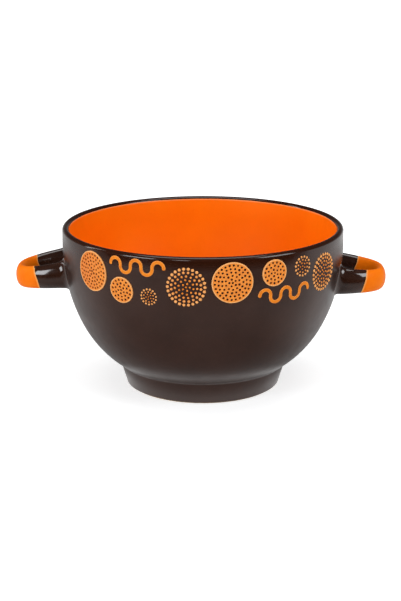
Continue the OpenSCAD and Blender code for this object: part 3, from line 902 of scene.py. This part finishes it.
def bead(turn, z, d, rise, tone):
    """Dome on the wall at a turn and a height."""
    middle, across, up, out = wall_frame(turn, z)
    # Share of the radius and height of each ring
    profile = [(1, -BEAD_SUNK), (1, 0), (0.93, 0.36 * rise), (0.75, 0.68 * rise), (0.45, 0.92 * rise)]
    verts = []
    for share, h in profile:
        for i in range(BEAD_SIDES):
            a = 2 * pi * i / BEAD_SIDES
            u, v = d / 2 * share * cos(a), d / 2 * share * sin(a)
            verts.append(middle + across * u + up * v + out * h)
    faces = bands(len(profile), BEAD_SIDES)
    last, crown = len(verts) - BEAD_SIDES, len(verts)
    verts += [middle + out * rise, middle - out * BEAD_SUNK]
    faces += [(last + i, last + (i + 1) % BEAD_SIDES, crown) for i in range(BEAD_SIDES)]
    faces += [(i, (i + 1) % BEAD_SIDES, crown + 1) for i in range(BEAD_SIDES)]
    return verts, faces, [tone] * len(verts)


def medallion(shares, side, counts, turns, pitch, bead_d, seed):
    """Rings of beads, larger and paler towards the edge."""
    rng = random.Random(seed)
    turn, z = band_place(shares, side)
    rings, parts = len(counts), []
    for k, t, r in ring_places(counts, turns, pitch):
        d = bead_d * (INNER_BEAD_SHARE + (1 - INNER_BEAD_SHARE) * (k / rings) ** 2.2)
        d *= rng.uniform(0.9, 1.0)
        t += rng.uniform(-1, 1) * BEAD_TURN / max(k, 1)
        r += rng.uniform(-1, 1) * BEAD_SHIFT
        rise = d * BEAD_RISE_SHARE * rng.uniform(0.8, 1.0)
        tone = (k / rings) ** 2 * BEAD_PALE_SHARES[0] + rng.uniform(0, BEAD_PALE_SHARES[1])
        bead_z = z + r * sin(t)
        parts.append(bead(turn + r * cos(t) / wall_r(bead_z), bead_z, d, rise, tone))
    return join(parts)


def ribbon_rows():
    """Rows across a wave of half rings and straight runs: middle, way along and share of the full width."""
    line = []
    for i in range(RIBBON_BENDS):
        up = 1 if i % 2 == 0 else -1
        x = RIBBON_BEND * (2 * i + 1) - RIBBON_BEND * RIBBON_BENDS
        for k in range(RIBBON_STEPS + 1):
            a = pi - pi * k / RIBBON_STEPS
            p = Vector((x + RIBBON_BEND * cos(a), up * (RIBBON_RUN / 2 + RIBBON_BEND * sin(a))))
            line.append((p, Vector((sin(a), -cos(a) * up)), 1))
    (first, first_way, _), (last, last_way, _) = line[0], line[-1]
    ends = [radians(90 * k / RIBBON_END_STEPS) for k in range(1, RIBBON_END_STEPS)]
    before = [(first - first_way * (RIBBON_W / 2 * cos(a)), first_way, sin(a)) for a in ends]
    after = [(last + last_way * (RIBBON_W / 2 * cos(a)), last_way, sin(a)) for a in reversed(ends)]
    return before + line + after


def ribbon_height(c, width_share):
    """Height at the share c of the half width: a low dome, lower still where the ribbon ends."""
    dome = RIBBON_EDGE_SHARE
    if abs(c) < 1:
        dome = RIBBON_SHOULDER_SHARE + (1 - RIBBON_SHOULDER_SHARE) * sqrt(1 - c * c * 0.99)
    return RELIEF * dome * (RIBBON_END_SHARE + (1 - RIBBON_END_SHARE) * min(1, width_share * 1.4))


def ribbon(place):
    """Wave with a domed top, round at both ends."""
    rows, across = ribbon_rows(), RIBBON_ACROSS_SHARES
    verts, faces, pale = [], [], []
    for raised in (True, False):
        for p, way, width_share in rows:
            for c in across:
                q = p + Vector((-way.y, way.x)) * (RIBBON_W / 2 * width_share * c)
                verts.append(place.lay(q.x, q.y, ribbon_height(c, width_share) if raised else -SINK))
                pale.append(0.5 * abs(c) ** 6 if raised else 0)
    m, n = len(rows), len(across)
    below = m * n
    for i in range(m - 1):
        for j in range(n - 1):
            a = i * n + j
            faces.append((a, a + 1, a + n + 1, a + n))
            faces.append((a + below, a + below + n, a + below + n + 1, a + below + 1))
        for a in (i * n, i * n + n - 1):
            faces.append((a, a + n, a + below + n, a + below))
    for start in (0, (m - 1) * n):
        faces += [(a, a + 1, a + below + 1, a + below) for a in range(start, start + n - 1)]
    return verts, faces, pale


def decorate(name, node, parts):
    verts, faces, pale = join(parts)
    piece = finish_mesh(name, verts, faces, 50, pale=pale)
    dress(piece, ENAMEL, "enamel_orange", node)


for half, turn in (("front", 0), ("back", 180)):
    decorate(f"{half}_large_disc_pair", f"{half}_large_discs",
             [disc(Place(shares, turn), LARGE_DISC_R, LARGE_COUNTS, LARGE_DISC_TURNS, seed)
              for seed, shares in enumerate(LARGE_DISCS, 11)])
    decorate(f"{half}_medium_disc_pair", f"{half}_medium_discs",
             [disc(Place(shares, turn), MEDIUM_DISC_R, MEDIUM_COUNTS, MEDIUM_TURNS, seed)
              for seed, shares in enumerate(MEDIUM_DISCS, 21)])
    decorate(f"{half}_large_bead_rings", f"{half}_large_medallions",
             [medallion(shares, turn, LARGE_COUNTS, LARGE_MEDALLION_TURNS, LARGE_PITCH, LARGE_BEAD_D, seed)
              for seed, shares in enumerate(LARGE_MEDALLIONS, 31)])
    decorate(f"{half}_medium_bead_rings", f"{half}_medium_medallion",
             [medallion(shares, turn, MEDIUM_COUNTS, MEDIUM_TURNS, MEDIUM_PITCH, MEDIUM_BEAD_D, seed)
              for seed, shares in enumerate(MEDIUM_MEDALLIONS, 41)])
    decorate(f"{half}_small_bead_rings", f"{half}_small_medallion",
             [medallion(shares, turn, MEDIUM_COUNTS, MEDIUM_TURNS, SMALL_PITCH, SMALL_BEAD_D, seed)
              for seed, shares in enumerate(SMALL_MEDALLIONS, 51)])
    decorate(f"{half}_wave_pair", f"{half}_wave_ribbons", [ribbon(Place(shares, turn)) for shares in RIBBONS])


# Studio: soft lamps, a world that is white to the camera, and a pale floor
def light(name, size, place, aim, power, colour=(1, 1, 1)):
    data = bpy.data.lights.new(name, "AREA")
    data.shape = "RECTANGLE"
    data.size, data.size_y = size
    data.energy = power
    data.color = colour
    lamp = bpy.data.objects.new(name, data)
    lamp.location = place
    lamp.rotation_euler = (Vector(aim) - Vector(place)).to_track_quat("-Z", "Y").to_euler()
    bpy.context.scene.collection.objects.link(lamp)


BOWL_MIDDLE = (0, 0, 0.05)
light("top_softbox", (1.0, 0.5), (0, -0.05, 1.0), (0, 0, 0.04), 4.5)
light("left_softbox", (0.48, 0.42), (-0.80, -0.69, 0.30), BOWL_MIDDLE, 4.2, (0.93, 0.965, 1))
light("right_softbox", (0.40, 0.36), (0.68, -0.36, 0.42), BOWL_MIDDLE, 2.4, (0.95, 0.975, 1))
light("front_softbox", (0.22, 0.16), (-0.27, -0.98, 0.37), BOWL_MIDDLE, 0.9)
light("left_strip", (0.08, 0.5), (-0.72, 0.10, 0.32), BOWL_MIDDLE, 0.6)


def light_room(world):
    """Even light, white to the camera; reflections see it pale beside and behind, dark ahead and overhead."""
    s = Nodes(world)
    path = s.node("LightPath")
    x, y, z = s.axes(s.node("TexCoord").outputs["Generated"])
    room = s.fade(s.maths("ABSOLUTE", x), 0.35, 0.95, 0.03, 0.20)
    room = s.blend(s.fade(y, 0.10, 0.80, 0, 1), room, 0.25)
    room = s.blend(s.fade(z, 0.02, 0.30, 0, 1), room, 0.05)
    level = s.blend(path.outputs["Is Glossy Ray"], 0.38, room)
    level = s.blend(path.outputs["Is Camera Ray"], level, 1.0)
    sky = s.node("Background", inputs={0: (1, 1, 1, 1), 1: level})
    s.node("OutputWorld", inputs={0: sky.outputs[0]})


def floor_paint():
    s = Shader("white_floor")
    path = s.node("LightPath")
    x, y, _ = s.axes(s.place)
    flat = s.node("CombineXYZ", inputs={0: x, 1: y}).outputs[0]
    radius = s.node("VectorMath", {"operation": "LENGTH"}, {0: flat}).outputs["Value"]
    # The camera sees the table go over into the white backdrop
    white = s.maths("MULTIPLY", path.outputs["Is Camera Ray"], s.fade(radius, 0.2, 0.7, 0.6, 1))
    paint = s.node("BsdfDiffuse", inputs={"Color": (0.8, 0.8, 0.8, 1)})
    glow = s.node("Emission", inputs={"Strength": white})
    table = s.node("AddShader", inputs={0: paint.outputs[0], 1: glow.outputs[0]})
    # In reflections the table is palest round the foot, behind and to the sides, with a pale strip ahead
    behind = s.fade(y, -0.11, 0.03, 0.07, 0.48)
    beside = s.maths("ADD", s.fade(x, 0.05, 0.12, 0, 0.38), s.fade(x, -0.12, -0.05, 0.20, 0))
    around = s.maths("MULTIPLY", s.maths("ADD", behind, beside), s.fade(y, -0.20, 0, 0, 1))
    strip = s.fade(s.maths("ABSOLUTE", s.maths("ADD", y, 0.145)), 0.02, 0.09, 0.22, 0)
    near = s.fade(radius, 0.0395, 0.048, 1, 0)
    level = s.maths("MINIMUM", s.maths("ADD", around, s.maths("ADD", near, strip)), 1)
    mirrored = s.node("Emission", inputs={"Strength": level})
    seen = s.node("MixShader", inputs={0: path.outputs["Is Glossy Ray"], 1: table.outputs[0],
                                       2: mirrored.outputs[0]})
    s.node("OutputMaterial", inputs={"Surface": seen.outputs[0]})
    return s.material


world = bpy.data.worlds.new("studio")
bpy.context.scene.world = world
light_room(world)

FLOOR_HALF = 3.0
FLOOR_TOP = -0.00005
floor_mesh = bpy.data.meshes.new("floor")
corners = [(x * FLOOR_HALF, y * FLOOR_HALF, FLOOR_TOP) for x, y in ((-1, -1), (1, -1), (1, 1), (-1, 1))]
floor_mesh.from_pydata(corners, [], [(0, 1, 2, 3)])
floor_mesh.materials.append(floor_paint())
floor = bpy.data.objects.new("floor", floor_mesh)
bpy.context.scene.collection.objects.link(floor)

# Camera
DISTANCE = 0.7
ELEVATION = radians(16)
AZIMUTH = radians(1.5)
AIM_Z = 0.0415
SIDE_STEP = -0.00117
FOCAL_PX = 1380
LONG_SIDE_PX = 601
SENSOR = 36
to_camera = Vector((sin(AZIMUTH) * cos(ELEVATION), -cos(AZIMUTH) * cos(ELEVATION), sin(ELEVATION)))
aim = Vector((0, 0, AIM_Z)) + Vector((cos(AZIMUTH), sin(AZIMUTH), 0)) * SIDE_STEP
lens = bpy.data.cameras.new("camera")
lens.sensor_width = SENSOR
lens.lens = FOCAL_PX / LONG_SIDE_PX * SENSOR
lens.clip_start = 0.01
camera = bpy.data.objects.new("camera", lens)
camera.location = aim + to_camera * DISTANCE
camera.rotation_euler = to_camera.to_track_quat("Z", "Y").to_euler()
bpy.context.scene.collection.objects.link(camera)
bpy.context.scene.camera = camera
bpy.context.scene.view_settings.view_transform = "Standard"
